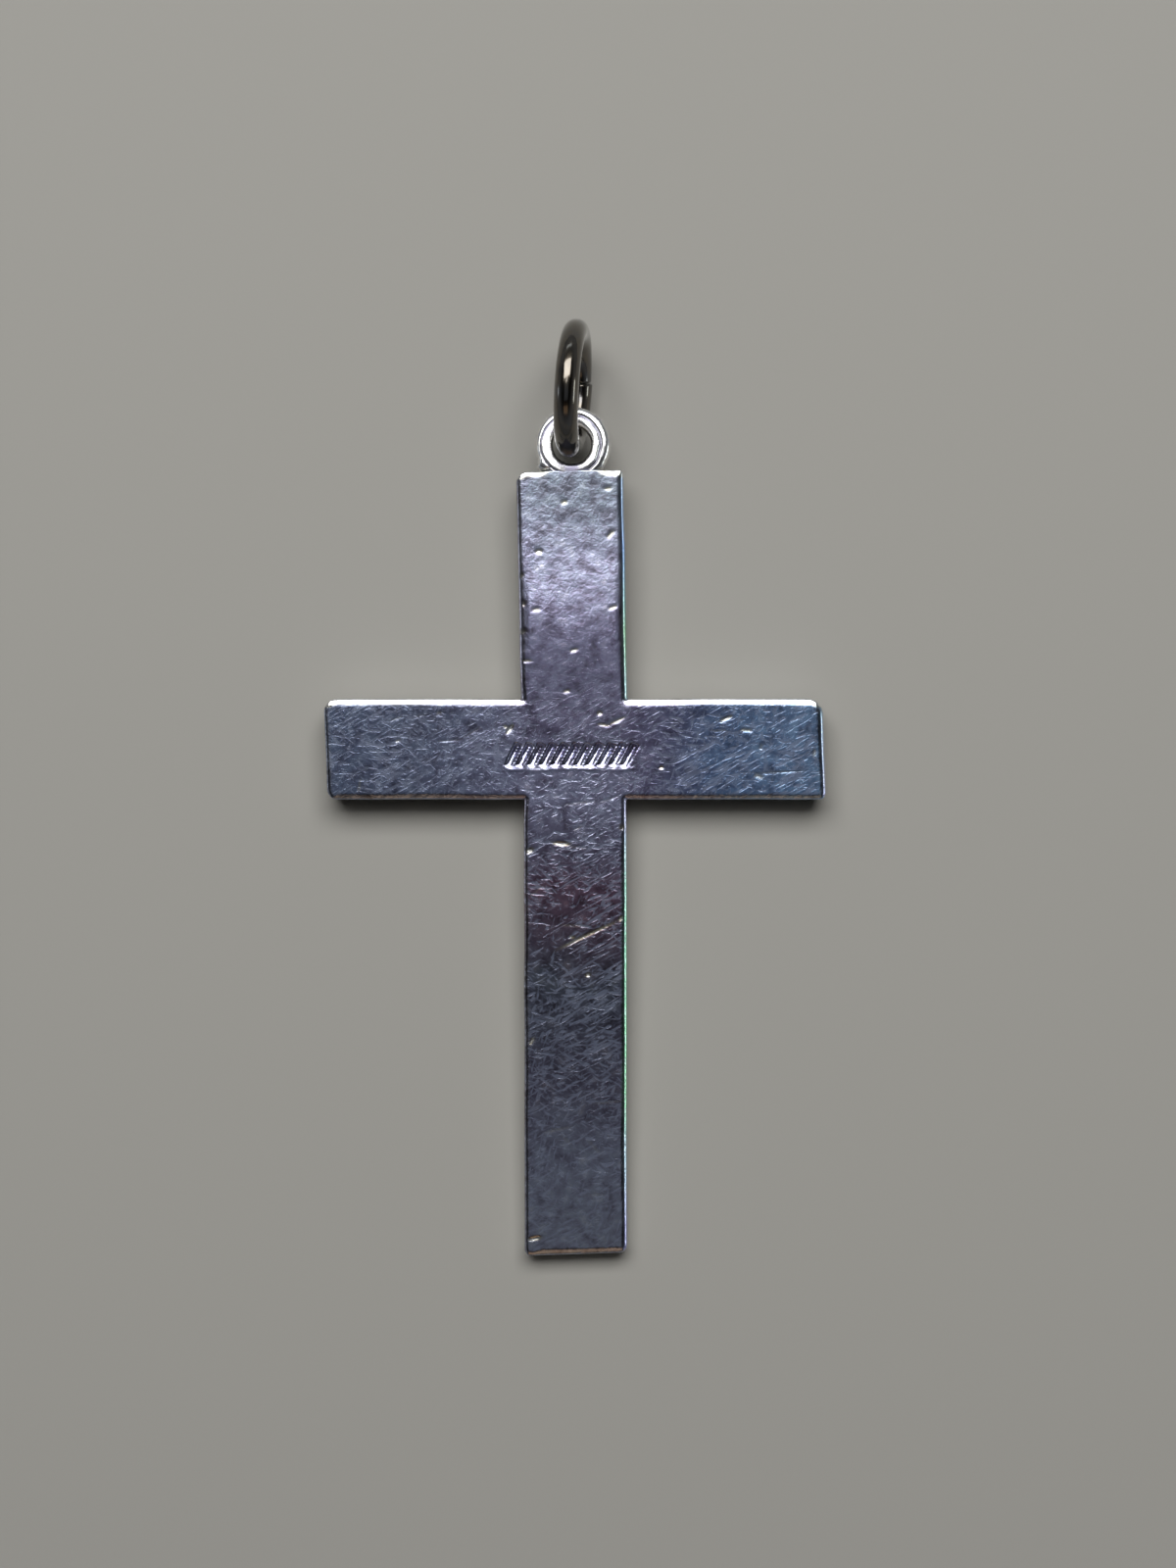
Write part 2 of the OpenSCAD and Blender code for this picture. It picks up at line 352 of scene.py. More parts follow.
# The bow of the back, by its height and its middle and half width up the head. Long and
# short waves lie on it, and all of it fades out over a strip along the edges.
bow_height = 0.06
bow_middle = 4.7
bow_half = 2.2
long_wave = 0.0035
short_wave = 0.0022
edge_strip = 0.4
wavy = bow_height * np.exp(-((grid_y - bow_middle) / bow_half) ** 2)
wavy = wavy + long_wave * smooth_noise(grid_x, grid_y, size=1.1, seed=41)
wavy = wavy + short_wave * smooth_noise(grid_x, grid_y, size=0.37, seed=42)
back_z = plate_thickness / 2 - rim_drop(distance, rim_here, facing)
back_z = back_z + wavy * np.clip(distance / edge_strip, 0, 1)
back_z = back_z - struck_depth(grid_x, grid_y) - nick_depth
plan_x, plan_y = plan_position(grid_x, grid_y)
back_points = np.stack([plan_x, plan_y, back_z], -1)

# The wall and the front rim are rows below the outline, and the front face closes them
turns = [(left, 0), (right, 0), (right, low), (last_x, low), (last_x, high), (right, high),
         (right, last_y), (left, last_y), (left, high), (0, high), (0, low), (left, low), (left, 0)]
around = []
for (i_from, j_from), (i_to, j_to) in zip(turns[:-1], turns[1:]):
    steps = max(abs(i_to - i_from), abs(j_to - j_from))
    share = np.arange(steps) / steps
    around.append(np.stack([i_from + np.round(share * (i_to - i_from)),
                            j_from + np.round(share * (j_to - j_from))], -1))
around = np.concatenate(around).astype(int)
ring_number = number[around[:, 0], around[:, 1]]
edge_x, edge_y = x_lines[around[:, 0]], y_lines[around[:, 1]]
wall_top = back_points[ring_number, 2]
wall_bottom = front_rim - plate_thickness / 2
rows = [(0.0, wall_top * (1 - t) + wall_bottom * t) for t in (0.35, 0.7)]
for angle in np.linspace(0, pi / 2, 6):
    row_level = front_rim * (1 - sin(angle)) - plate_thickness / 2
    rows.append((front_rim * (1 - cos(angle)), np.full(len(edge_x), row_level)))

# A lower row is the outline drawn in by its inset: in x near a side, in y near an end, and
# in both within this zone beside a corner
corner_zone = 0.45
end_y = np.where(edge_y > 0, head_length, foot_length)
nearest_x = np.where(np.abs(edge_x) > foot_half + hair, arm_reach, foot_half)
nearest_y = np.where(np.abs(edge_y) > arm_half + hair, end_y, arm_half)
near_x = np.clip((np.abs(edge_x) - nearest_x) / corner_zone + 1, 0, 1)
near_y = np.clip((np.abs(edge_y) - nearest_y) / corner_zone + 1, 0, 1)
row_points = []
for inset, row_z in rows:
    row_x = edge_x - np.sign(edge_x) * inset * near_x
    row_y = edge_y - np.sign(edge_y) * inset * near_y
    row_points.append(np.stack([*plan_position(row_x, row_y), row_z], -1))
around_count = len(ring_number)
row_numbers = np.stack([ring_number] + [
    len(back_points) + k * around_count + np.arange(around_count) for k in range(len(rows))])
after = np.roll(row_numbers, -1, axis=1)
wall_quads = np.stack([row_numbers[:-1], row_numbers[1:], after[1:], after[:-1]], -1).reshape(-1, 4)
corners = np.concatenate([back_quads.ravel(), wall_quads.ravel(), row_numbers[-1][::-1]])
sizes = np.concatenate([np.full(len(back_quads) + len(wall_quads), 4), [around_count]])
plate_points = on_the_floor(np.concatenate([back_points] + row_points))
plate = make_piece("plate", plate_points, corners, sizes)

# How bare of tarnish each point is: the nicks and the walls, but not so much the other rims and
# the front face. The rims that face the head, the side the window lights, are made fully bare
# as a painted highlight.
head_side_highlight = 1.0
other_bare = 0.15
from_top = np.where(np.abs(grid_x) > foot_half + hair, arm_half, head_length) - grid_y
rim_wear_and_highlight = np.where(from_top < 0.3, head_side_highlight, other_bare) * np.clip(1.3 - distance / 0.2, 0, 1)
rim_wear_and_highlight = rim_wear_and_highlight * (1 - soldered)
rim_wear_and_highlight = rim_wear_and_highlight * (0.85 + 0.15 * smooth_noise(grid_x, grid_y, size=0.5, seed=51))
wall_bare = np.full(around_count * (len(rows) - 1), 0.8)
front_bare = np.full(around_count, 0.2)
all_bare_and_highlight = np.concatenate([np.maximum(bare, rim_wear_and_highlight), wall_bare, front_bare])
keep_values(plate, "bare", all_bare_and_highlight)

# Which points are on the rims that face right, where a painted reflection tint goes
reflection_tint_rim = np.clip(1.5 - distance / 0.15, 0, 1) * facing * (grid_x > 0)
keep_values(plate, "reflection_tint_rim", np.concatenate([reflection_tint_rim, np.zeros(around_count * len(rows))]))


def colour(hex_value):
    """An sRGB hex colour as linear red, green, blue and full alpha."""
    levels = [int(hex_value[k:k + 2], 16) / 255 for k in (1, 3, 5)]
    return tuple(c / 12.92 if c <= 0.04045 else ((c + 0.055) / 1.055) ** 2.4 for c in levels) + (1,)


def add_node(tree, kind, links=None, stops=None, **settings):
    """Adds one shader node with its settings, its input values or links, and its stops. An
    input goes by its name, or by its number where several have the same name."""
    node = tree.nodes.new(kind)
    for name, value in settings.items():
        setattr(node, name, value)
    for name, value in (links or {}).items():
        if isinstance(value, bpy.types.NodeSocket):
            tree.links.new(value, node.inputs[name])
        else:
            node.inputs[name].default_value = value
    if stops:
        while len(node.color_ramp.elements) < len(stops):
            node.color_ramp.elements.new(0.5)
        for element, (place, shade) in zip(node.color_ramp.elements, stops):
            element.position = place
            element.color = colour(shade)
    return node


# Numbers of a Mix node's factor, of its two colours and of the mixed colour that it gives
FACTOR = 0
COLOUR_A = 6
COLOUR_B = 7
MIXED = 2

# TARNISHED SILVER: sterling silver sheet, polished long ago, under a thin film of silver
# sulphide. The film gives a smooth metal a lavender to slate tint, and fine scratches lie
# across it in every direction. They are drawn coarser than the real ones, which are too fine
# to show: each is the crest of a noise whose cells are 0.12 to 0.16 mm wide.
drift_cells = 450  # in a metre, so one is 2.2 mm
mottle_cells = 1900  # one is 0.53 mm
patch_cells = 380  # one is 2.6 mm
wave_cells = 4200  # one is 0.24 mm
drift_along = 3.0
drift_across = 2.0
tarnished = bpy.data.materials.new("tarnished_silver")
tarnished.use_nodes = True
tree = tarnished.node_tree
tree.nodes.clear()
place = add_node(tree, "ShaderNodeTexCoord").outputs["Object"]
apart = add_node(tree, "ShaderNodeSeparateXYZ", {"Vector": place})

# The film's tint changes along the upright, from y = -18 to 13 mm, and along the arms, from
# end to end. Along the upright the stops are lighter on the head, which in part paints the
# window's reflection. Each place drifts by a noise, whose mean, half the drift, is allowed for.
drift = add_node(tree, "ShaderNodeTexNoise", {
    "Vector": place, "Scale": drift_cells, "Detail": 3.0, "Roughness": 0.6})
drift_y = add_node(tree, "ShaderNodeMath", {
    0: drift.outputs[0], 1: drift_along * MM, 2: apart.outputs["Y"]}, operation="MULTIPLY_ADD")
along = add_node(tree, "ShaderNodeMapRange", {
    "Value": drift_y.outputs[0], "From Min": (drift_along / 2 - 18) * MM,
    "From Max": (drift_along / 2 + 13) * MM})
# Lighter on the head, in part as painted reflection of the window
upright_tint_and_sheen = add_node(tree, "ShaderNodeValToRGB", {"Fac": along.outputs[0]}, stops=[
    (0.00, "#bdbfc8"), (0.11, "#b7b9c5"), (0.15, "#a6a5b2"), (0.20, "#837d8b"), (0.34, "#7a7d86"),
    (0.45, "#967685"), (0.51, "#938da1"), (0.57, "#c1bfd7"), (0.66, "#a19ab3"), (0.73, "#c0b9d4"),
    (0.77, "#cdc7e2"), (0.80, "#c6c2da"), (0.87, "#d9d9ed"), (0.95, "#b0b7c1")])
drift_x = add_node(tree, "ShaderNodeMath", {
    0: drift.outputs[0], 1: drift_across * MM, 2: apart.outputs["X"]}, operation="MULTIPLY_ADD")
across = add_node(tree, "ShaderNodeMapRange", {
    "Value": drift_x.outputs[0], "From Min": (drift_across / 2 - arm_reach) * MM,
    "From Max": (drift_across / 2 + arm_reach) * MM})
arm_tone = add_node(tree, "ShaderNodeValToRGB", {"Fac": across.outputs[0]}, stops=[
    (0.00, "#8793ab"), (0.20, "#9098ae"), (0.31, "#a8abc3"), (0.40, "#aeadc5"), (0.60, "#9c94b0"),
    (0.70, "#8e92b0"), (0.80, "#8aa5ca"), (0.90, "#9dbce0"), (1.00, "#a6c7e7")])
out_on_arms = add_node(tree, "ShaderNodeMath", {0: apart.outputs["X"]}, operation="ABSOLUTE")
arm_share = add_node(tree, "ShaderNodeMapRange", {
    "Value": out_on_arms.outputs[0], "From Min": 1.4 * MM, "From Max": 3.0 * MM},
    interpolation_type="SMOOTHSTEP")
tone = add_node(tree, "ShaderNodeMix", {
    FACTOR: arm_share.outputs[0], COLOUR_A: upright_tint_and_sheen.outputs[0],
    COLOUR_B: arm_tone.outputs[0]}, data_type="RGBA")

# Mottling about half a millimetre across, between a browner and a bluer film
mottle = add_node(tree, "ShaderNodeTexNoise", {
    "Vector": place, "Scale": mottle_cells, "Detail": 4.0, "Roughness": 0.6})
mottle_tint = add_node(tree, "ShaderNodeValToRGB", {"Fac": mottle.outputs[0]}, stops=[
    (0.30, "#a49ca6"), (0.46, "#d6d4e0"), (0.56, "#dfe4ee"), (0.72, "#ffffff")])
mottled = add_node(tree, "ShaderNodeMix", {
    FACTOR: 0.9, COLOUR_A: tone.outputs[MIXED], COLOUR_B: mottle_tint.outputs[0]},
    data_type="RGBA", blend_type="MULTIPLY")

# Scratches: the crests of noises that are stretched each along its own direction. Patches
# raise a noise by up to a share, and by about half of it on the whole, so that more of its
# crests show there. A scratch comes up to its strength over the crest's edge.
patchiness = 0.35
patch_mean = 0.17
crest_edge = 0.12
SCRATCHES = [
    # direction in degrees, length and width in mm, lowest crest, strength
    (27, 0.60, 0.15, 0.59, 0.60),
    (-7, 0.50, 0.14, 0.59, 0.60),
    (72, 0.42, 0.14, 0.60, 0.50),
    (30, 1.20, 0.12, 0.61, 0.50),
    (-40, 0.45, 0.13, 0.60, 0.50),
    (5, 0.22, 0.16, 0.62, 0.50),
]
patches = add_node(tree, "ShaderNodeTexNoise", {
    "Vector": place, "Scale": patch_cells, "Detail": 1.0})
patch_shares = add_node(tree, "ShaderNodeSeparateColor", {0: patches.outputs["Color"]}).outputs
scratched = None
for row, (direction, length, width, crest, strength) in enumerate(SCRATCHES):
    turned = add_node(tree, "ShaderNodeMapping", {
        "Vector": place, "Rotation": (0, 0, radians(direction)), "Scale": (length, width, width)},
        vector_type="TEXTURE")
    noise = add_node(tree, "ShaderNodeTexNoise", {
        "Vector": turned.outputs[0], "Scale": 1 / MM, "Detail": 1.0, "Distortion": 0.5})
    here = add_node(tree, "ShaderNodeMath", {
        0: patch_shares[row % 3], 1: patchiness, 2: noise.outputs[0]}, operation="MULTIPLY_ADD")
    line = add_node(tree, "ShaderNodeMapRange", {
        "Value": here.outputs[0], "From Min": crest + patch_mean,
        "From Max": crest + patch_mean + crest_edge, "To Max": strength})
    if scratched is None:
        scratched = line
    else:
        scratched = add_node(tree, "ShaderNodeMath", {
            0: scratched.outputs[0], 1: line.outputs[0]}, operation="MAXIMUM")

# They are strongest round the crossing, weakest at the head, and three quarters of full
# strength on the arms
scratch_share = add_node(tree, "ShaderNodeValToRGB", {"Fac": along.outputs[0]}, stops=[
    (0.00, "#b8b8b8"), (0.10, "#e0e0e0"), (0.46, "#ffffff"), (0.60, "#ffffff"), (0.70, "#c0c0c0"),
    (0.79, "#7c7c7c")])
scratch_share = add_node(tree, "ShaderNodeMix", {
    FACTOR: arm_share.outputs[0], 2: scratch_share.outputs[0], 3: 0.75})
scratched = add_node(tree, "ShaderNodeMath", {
    0: scratched.outputs[0], 1: scratch_share.outputs[0]}, operation="MULTIPLY")

# Along the right edges a painted reflection tint runs from lavender through mint
rim_reflection_tint = add_node(tree, "ShaderNodeValToRGB", {"Fac": along.outputs[0]}, stops=[
    (0.04, "#b4b8f0"), (0.13, "#b8dcee"), (0.20, "#a2eac2"), (0.44, "#9deccd"), (0.56, "#bcbcec"),
    (0.68, "#a8c8e0"), (0.78, "#90c6a8"), (0.88, "#8fb4f0"), (1.00, "#b8d0f0")])
reflection_tint_rim_here = add_node(
    tree, "ShaderNodeAttribute", attribute_name="reflection_tint_rim", attribute_type="GEOMETRY")
tinted = add_node(tree, "ShaderNodeMix", {
    FACTOR: reflection_tint_rim_here.outputs["Fac"], COLOUR_A: mottled.outputs[MIXED],
    COLOUR_B: rim_reflection_tint.outputs[0]}, data_type="RGBA")

# A scratch is pale. A nick or a bare rim is straw yellow at its border, and white inside.
# On the rims that face the head this bareness is a painted highlight.
scraped = add_node(tree, "ShaderNodeMix", {
    FACTOR: scratched.outputs[0], COLOUR_A: tinted.outputs[MIXED],
    COLOUR_B: colour("#d2d9f2")}, data_type="RGBA")
bare_and_painted_light = add_node(tree, "ShaderNodeAttribute", attribute_name="bare", attribute_type="GEOMETRY")
worn_through_and_lit = add_node(tree, "ShaderNodeMapRange", {
    "Value": bare_and_painted_light.outputs["Fac"], "From Min": 0.45, "From Max": 0.8})
bare_and_lit_film = add_node(tree, "ShaderNodeMix", {
    FACTOR: worn_through_and_lit.outputs[0], COLOUR_A: colour("#d8ce9f"),
    COLOUR_B: colour("#f6f5f2")}, data_type="RGBA")
film = add_node(tree, "ShaderNodeMix", {
    FACTOR: bare_and_painted_light.outputs["Fac"], COLOUR_A: scraped.outputs[MIXED],
    COLOUR_B: bare_and_lit_film.outputs[MIXED]}, data_type="RGBA")

# Relief: soft waves 6 micrometres high, with the scratches cut in
waves = add_node(tree, "ShaderNodeTexNoise", {
    "Vector": place, "Scale": wave_cells, "Detail": 2.0, "Roughness": 0.5, "Distortion": 0.6})
relief = add_node(tree, "ShaderNodeMath", {
    0: scratched.outputs[0], 1: -0.75, 2: waves.outputs[0]}, operation="MULTIPLY_ADD")
bump = add_node(tree, "ShaderNodeBump", {
    "Strength": 1.0, "Distance": 0.006 * MM, "Height": relief.outputs[0]})
gloss = add_node(tree, "ShaderNodeMapRange", {
    "Value": mottle.outputs[0], "From Min": 0.3, "From Max": 0.7, "To Min": 0.17, "To Max": 0.23})
surface = add_node(tree, "ShaderNodeBsdfPrincipled", {
    "Base Color": film.outputs[MIXED], "Metallic": 1.0, "Roughness": gloss.outputs[0],
    "Normal": bump.outputs[0]})
add_node(tree, "ShaderNodeOutputMaterial", {"Surface": surface.outputs[0]})
plate.data.materials.append(tarnished)
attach(plate, "root")
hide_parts("cross")

# THE EYELET. A ring of 0.72 mm round silver wire, let into the head edge and soldered there,
# with the solder drawn up into a fillet on each shoulder. Handling keeps it bright, and its
# back has a crease all round and is worn lower outside it.
eyelet_radius = 1.115
eyelet_wire = 0.36
eyelet_rise = 1.035
eyelet_level = 0.11

# The wire's section: the power that makes it rounder or squarer, the shares by which it is
# dented, wider on the right and flatter at the far end, and the slope of its back
round_power = 2.7
square_power = 6.2
dent_share = 0.012
wider_right = 0.06
flat_far_end = 0.12
back_slope = 0.065

# Angles from the head edge at which the solder ends, over which it thins out, and over
# which the plate's nearness fades, and the most that solder adds to the wire
solder_end_left = radians(74)
solder_end_right = radians(62)
solder_ease = radians(24)
plate_near = 0.55
solder_most = 0.75

# Where the crease runs, counted outwards from the wire's middle, its half widths, and the
# step in the metal beyond it
crease_middle = 0.055
crease_lean = 0.07
crease_wander = 0.02
crease_depth = 0.08
crease_right = 0.055
crease_left = 0.035
step_depth = 0.045
step_width = 0.05


def eyelet_surface(around_ring, around_wire):
    """A ring of wire whose section is r = (|cos a|^n + |sin a|^n)^(-1/n), squarest on its inner
    side by the plate, and how bare each point is: less in the crease, where the film is darker,
    and less near the plate, which is painted shade. The outer side swells out to the head edge,
    1 / cos of the angle from it away, where solder fills the shoulder. The upper side slopes
    down towards the far end, and has a crease, exp(-u^2), with the metal outside it lower."""
    c, s = np.cos(around_wire), np.sin(around_wire)
    upper = s > 0
    to_right, to_far_end = np.cos(around_ring), np.clip(np.sin(around_ring), 0, 1)
    inner_power = square_power + (round_power - square_power) * to_far_end
    power = np.where(c < 0, inner_power, round_power)
    squared = (np.abs(c) ** power + np.abs(s) ** power) ** (-1 / power)
    from_edge = np.abs(np.angle(np.exp(1j * (around_ring + pi / 2))))
    solder_end = np.where(to_right < 0, solder_end_left, solder_end_right)
    to_edge = eyelet_rise / np.maximum(np.cos(from_edge), 0.2)
    ease = np.clip((solder_end - from_edge) / solder_ease, 0, 1)
    fillet = np.maximum(to_edge - eyelet_radius - eyelet_wire, 0)
    fillet = fillet * np.where(from_edge < radians(60), ease * ease, ease ** 3)
    dents = 1 + dent_share * smooth_noise(around_ring * 3, around_wire * 1.5, size=0.7, seed=61)
    half_width = eyelet_wire * dents * (1 + wider_right * to_right)
    half_width = half_width + np.minimum(fillet, solder_most) * (c > 0)
    outward = half_width * c * squared
    waver = crease_wander * smooth_noise(around_ring, around_ring, size=0.4, seed=62)
    past_crease = outward - (crease_middle - crease_lean * to_right + waver)
    crease_width = np.where(to_right > 0, crease_right, crease_left)
    crease = np.exp(-(past_crease / crease_width) ** 2) * upper
    step = step_depth * np.clip(past_crease / step_width, 0, 1) * upper
    radius = eyelet_radius + outward
    across, along = radius * np.cos(around_ring), radius * np.sin(around_ring)
    thick = eyelet_wire * np.where(upper, 1 - flat_far_end * to_far_end, 1)
    in_plate = np.exp(-(from_edge / plate_near) ** 2)
    slope = back_slope * along * upper * s * (1 - 0.75 * in_plate)
    z = eyelet_level + thick * s * squared * dents - crease_depth * crease - step - slope
    x, y = eyelet_shift + across, head_length + eyelet_rise + along
    turned_x = x * cos(head_lean) - y * sin(head_lean)
    turned_y = x * sin(head_lean) + y * cos(head_lean)
    # Lower in the crease, where the film is darker, and lower near the plate as painted shade
    bare = 1 - 0.9 * crease - 0.8 * (1 - crease) * in_plate
    return np.stack([turned_x, turned_y, z], -1), bare


def closed_grid(rows, columns):
    """Corners of the quads of a grid that closes on itself both ways."""
    index = np.arange(rows * columns).reshape(rows, columns)
    next_row = np.roll(index, -1, axis=0)
    quads = np.stack([index, next_row, np.roll(next_row, -1, axis=1), np.roll(index, -1, axis=1)], -1)
    return quads.reshape(-1, 4)


ring_steps, wire_steps = 260, 128
ring_angle, wire_angle = np.meshgrid(np.arange(ring_steps) * 2 * pi / ring_steps,
                                     np.arange(wire_steps) * 2 * pi / wire_steps, indexing="ij")
eyelet_points, eyelet_bare_and_shade = eyelet_surface(ring_angle, wire_angle)
eyelet_points = on_the_floor(eyelet_points.reshape(-1, 3))
eyelet_quads = closed_grid(ring_steps, wire_steps)
quad_sizes = np.full(len(eyelet_quads), 4)
eyelet = make_piece("eyelet", eyelet_points, eyelet_quads.ravel(), quad_sizes)
keep_values(eyelet, "bare", eyelet_bare_and_shade)

# BRIGHT SILVER: drawn sterling wire, polished by handling, with a faint grey film in streaks
# and a darker one in the crease. The same dark colour beside the plate is painted shade.
streak_cells = 1500  # in a metre, so one is 0.67 mm
ding_cells = 3000  # one is 0.33 mm
bright = bpy.data.materials.new("bright_silver")
bright.use_nodes = True
tree = bright.node_tree
tree.nodes.clear()
place = add_node(tree, "ShaderNodeTexCoord").outputs["Object"]
streaks = add_node(tree, "ShaderNodeTexNoise", {
    "Vector": place, "Scale": streak_cells, "Detail": 3.0, "Distortion": 1.0})
film = add_node(tree, "ShaderNodeValToRGB", {"Fac": streaks.outputs[0]}, stops=[
    (0.34, "#c2bfca"), (0.44, "#eeeef0"), (0.60, "#faf9f6")])
bare_and_painted_light = add_node(tree, "ShaderNodeAttribute", attribute_name="bare", attribute_type="GEOMETRY")
# The dark colour in the crease is film; beside the plate it is painted shade
film = add_node(tree, "ShaderNodeMix", {
    FACTOR: bare_and_painted_light.outputs["Fac"], COLOUR_A: colour("#65627a"), COLOUR_B: film.outputs[0]},
    data_type="RGBA")
dings = add_node(tree, "ShaderNodeTexNoise", {"Vector": place, "Scale": ding_cells, "Detail": 2.0})
bump = add_node(tree, "ShaderNodeBump", {
    "Strength": 1.0, "Distance": 0.008 * MM, "Height": dings.outputs[0]})
gloss = add_node(tree, "ShaderNodeMapRange", {
    "Value": streaks.outputs[0], "From Min": 0.3, "From Max": 0.7, "To Min": 0.30, "To Max": 0.18})
surface = add_node(tree, "ShaderNodeBsdfPrincipled", {
    "Base Color": film.outputs[MIXED], "Metallic": 1.0, "Roughness": gloss.outputs[0],
    "Normal": bump.outputs[0]})
add_node(tree, "ShaderNodeOutputMaterial", {"Surface": surface.outputs[0]})
eyelet.data.materials.append(bright)
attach(eyelet, "root")
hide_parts("cross")

# THE JUMP RING. One turn of 0.95 mm round silver wire, sawn from a coil, so its two ends
# stand a little to either side of each other at the cut. It stands through the eyelet.
ring_radius = 2.225
ring_wire = 0.475
ring_lean = radians(6)
ring_turn = radians(4)
ring_place = (-0.0791, 15.6406, 2.6878)
cut_at = radians(13)
cut_gap = 0.06
cut_step = 0.05
ring_dent_share = 0.006


def jump_ring_surface(along_wire, around_wire, shrink):
    """Round wire carried once round the ring: the angle runs from one sawn end to the other
    while the wire moves sideways by 4 s (t - 1/2)^3, which parts its ends by the step s."""
    half_gap = cut_gap / 2 / ring_radius
    angle = cut_at + half_gap + along_wire * (2 * pi - 2 * half_gap)
    sideways = 4 * cut_step * (along_wire - 0.5) ** 3
    dents = 1 + ring_dent_share * smooth_noise(along_wire * 40, around_wire, size=1.1, seed=71)
    worn = ring_wire * shrink * dents
    radius = ring_radius + worn * np.cos(around_wire)
    down, out = radius * np.cos(angle), radius * np.sin(angle)
    side = sideways + worn * np.sin(around_wire)
    x = down * sin(ring_lean) + side * cos(ring_lean)
    z = -down * cos(ring_lean) + side * sin(ring_lean)
    turned_x = x * cos(ring_turn) + out * sin(ring_turn)
    turned_y = out * cos(ring_turn) - x * sin(ring_turn)
    return (np.stack([turned_x, turned_y, z], -1) + ring_place) * MM


# Rows along the wire. A sawn face is three of them, each wider than the last, round a tiny
# polygon, and one more row rounds its edge.
full_rows = 240
shares = np.concatenate([[0, 0, 0, 0.0015], np.linspace(0.004, 0.996, full_rows), [0.9985, 1, 1, 1]])
shrinks = np.concatenate([[0.02, 0.5, 0.9, 0.97], np.ones(full_rows), [0.97, 0.9, 0.5, 0.02]])
wire_steps = 48
wire_turn = np.arange(wire_steps) * 2 * pi / wire_steps
share_grid, turn_grid = np.meshgrid(shares, wire_turn, indexing="ij")
ring_points = jump_ring_surface(share_grid, turn_grid, shrinks[:, None]).reshape(-1, 3)
index = np.arange(len(shares) * wire_steps).reshape(len(shares), wire_steps)
beside = np.roll(index, -1, axis=1)
ring_quads = np.stack([index[:-1], index[1:], beside[1:], beside[:-1]], -1).reshape(-1, 4)
ring_corners = np.concatenate([ring_quads.ravel(), index[0], index[-1][::-1]])
ring_sizes = np.concatenate([np.full(len(ring_quads), 4), [wire_steps, wire_steps]])
jump_ring = make_piece("jump_ring_wire", ring_points, ring_corners, ring_sizes)

# BLACKENED SILVER: drawn silver wire under a thick sulphide film, which looks like glossy
# brown-black lacquer, browner in places
cloud_cells = 700  # in a metre, so one is 1.4 mm
grain_cells = 4200  # one is 0.24 mm
blackened = bpy.data.materials.new("blackened_silver")
blackened.use_nodes = True
tree = blackened.node_tree
tree.nodes.clear()
place = add_node(tree, "ShaderNodeTexCoord").outputs["Object"]
clouds = add_node(tree, "ShaderNodeTexNoise", {
    "Vector": place, "Scale": cloud_cells, "Detail": 4.0, "Roughness": 0.6})
film = add_node(tree, "ShaderNodeValToRGB", {"Fac": clouds.outputs[0]}, stops=[
    (0.35, "#47433d"), (0.50, "#5b544a"), (0.65, "#505052")])
grain = add_node(tree, "ShaderNodeTexNoise", {"Vector": place, "Scale": grain_cells, "Detail": 2.0})
bump = add_node(tree, "ShaderNodeBump", {
    "Strength": 1.0, "Distance": 0.003 * MM, "Height": grain.outputs[0]})
gloss = add_node(tree, "ShaderNodeMapRange", {
    "Value": clouds.outputs[0], "From Min": 0.3, "From Max": 0.7, "To Min": 0.12, "To Max": 0.22})
surface = add_node(tree, "ShaderNodeBsdfPrincipled", {
    "Base Color": film.outputs[0], "Metallic": 1.0, "Roughness": gloss.outputs[0],
    "Normal": bump.outputs[0], "Coat Weight": 1.0, "Coat Roughness": 0.06})
add_node(tree, "ShaderNodeOutputMaterial", {"Surface": surface.outputs[0]})
jump_ring.data.materials.append(blackened)
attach(jump_ring, "root")
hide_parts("jump_ring")

# FLOOR, LIGHT AND CAMERA. A plain pale matt table under a soft window, which two lights make,
# from overhead down towards the ring's side. Weaker lights round it and the room's glow show
# in the metal alone. The camera looks straight down.
table_half = 2.0
table_corners = [(-table_half, -table_half, 0), (table_half, -table_half, 0),
                 (table_half, table_half, 0), (-table_half, table_half, 0)]
floor_mesh = bpy.data.meshes.new("table")
floor_mesh.from_pydata(table_corners, [], [(0, 1, 2, 3)])
table = bpy.data.objects.new("table", floor_mesh)
bpy.context.scene.collection.objects.link(table)
matt = bpy.data.materials.new("matt_table")
matt.use_nodes = True
matt_surface = matt.node_tree.nodes["Principled BSDF"]
matt_surface.inputs["Base Color"].default_value = colour("#a5a39d")
matt_surface.inputs["Roughness"].default_value = 0.9
floor_mesh.materials.append(matt)


def soft_light(name, middle, towards, width, height, radiance, shade, on_table=False):
    """A rectangular light whose middle, aim and size are in millimetres. Its power is pi
    times its area times its radiance. One that isn't on the table shows in the metal alone."""
    lamp = bpy.data.lights.new(name, "AREA")
    lamp.shape = "RECTANGLE"
    lamp.size = width * MM
    lamp.size_y = height * MM
    lamp.energy = pi * lamp.size * lamp.size_y * radiance
    lamp.color = colour(shade)[:3]
    light = bpy.data.objects.new(name, lamp)
    light.location = np.array(middle) * MM
    aim = np.array(towards) - np.array(middle)
    light.rotation_euler = Vector(aim).to_track_quat("-Z", "Y").to_euler()
    light.visible_camera = False
    light.visible_diffuse = on_table
    bpy.context.scene.collection.objects.link(light)


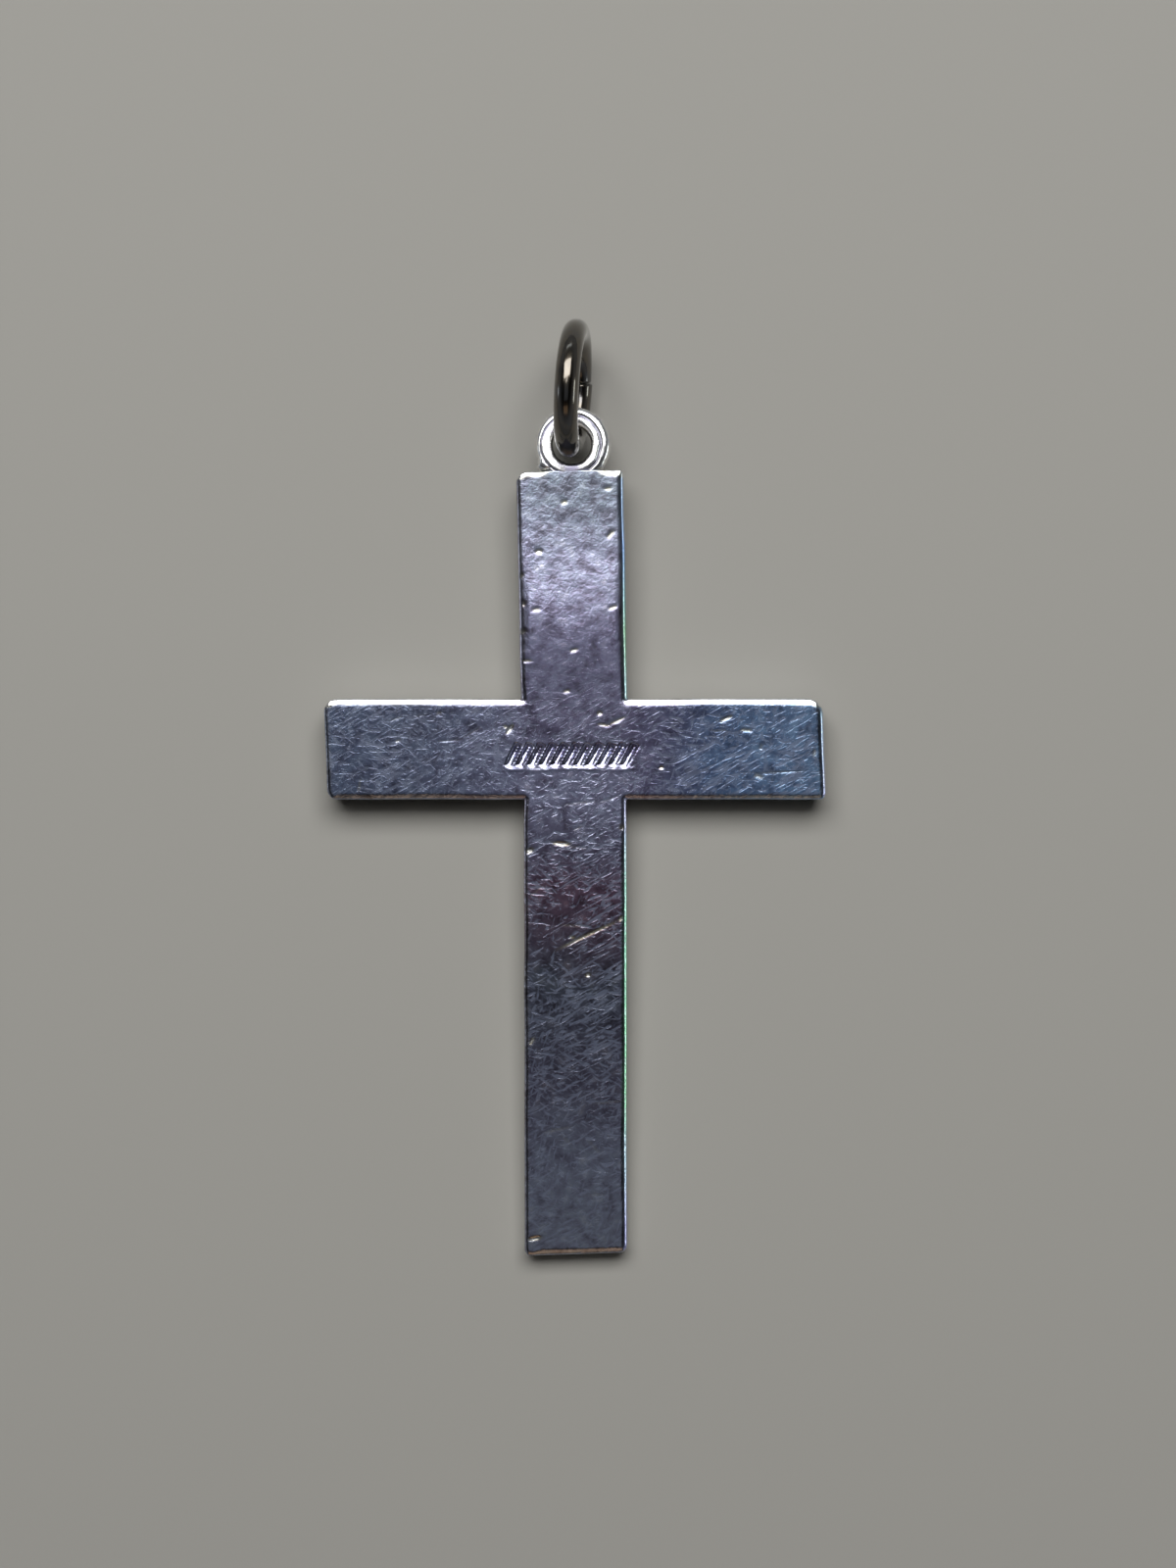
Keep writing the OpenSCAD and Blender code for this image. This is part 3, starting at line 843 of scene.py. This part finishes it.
soft_light("window", (-10, 159.5, 282), (0, 0, 0), 320, 168, 6.5, "#ffffff", on_table=True)
soft_light("window_foot", (-10, 57.7, 318.8), (0, 0, 0), 100, 54, 2.6, "#ffffff", on_table=True)
soft_light("far_strip", (-20, 308, 118), (0, 0, 0), 200, 30, 1.5, "#eaf6ff")
soft_light("ceiling", (0, -50, 290), (0, -50, 0), 180, 150, 0.158, "#e6f0ff")
soft_light("side_strip", (300, -25, 62), (0, -25, 0), 120, 50, 4.6, "#f0f8f6")
soft_light("left_strip", (-300, 3, 62), (0, 3, 0), 46, 50, 2.2, "#e8eef2")
soft_light("warm_wall", (0, -215, 250), (0, 0, 0), 200, 80, 0.45, "#ffd8b0")

# The room glows faintly low down and is dark overhead. Between, its glow eases from one to
# the other over these heights, each the sine of an angle above the horizon.
glow_low = 0.26
glow_overhead = 0.006
fades_from = 0.25
fades_to = 0.85
world = bpy.data.worlds.new("dim_room")
bpy.context.scene.world = world
world.use_nodes = True
room = world.node_tree.nodes["Background"]
room.inputs["Color"].default_value = colour("#e4e8ee")
outward = add_node(world.node_tree, "ShaderNodeTexCoord").outputs["Generated"]
height = add_node(world.node_tree, "ShaderNodeSeparateXYZ", {"Vector": outward}).outputs["Z"]
wall_glow = add_node(world.node_tree, "ShaderNodeMapRange", {
    "Value": height, "From Min": fades_from, "From Max": fades_to, "To Min": glow_low,
    "To Max": glow_overhead}, interpolation_type="SMOOTHSTEP")
world.node_tree.links.new(wall_glow.outputs[0], room.inputs["Strength"])
world.cycles_visibility.diffuse = False

# The camera stands 130 mm above the back of the cross, near the middle of the whole, and
# its picture is 61.54 mm high there
camera_height = 130.0
view_height = 61.54
view_x = 0.5
view_y = 0.227
back_level = 1.738
sensor_height = 36
lens = bpy.data.cameras.new("above")
lens.sensor_fit = "VERTICAL"
lens.sensor_height = sensor_height
lens.lens = sensor_height * camera_height / view_height
lens.clip_start = 0.005
above = bpy.data.objects.new("above", lens)
above.location = (view_x * MM, view_y * MM, (back_level + camera_height) * MM)
bpy.context.scene.collection.objects.link(above)
bpy.context.scene.camera = above
bpy.context.scene.view_settings.view_transform = "Standard"
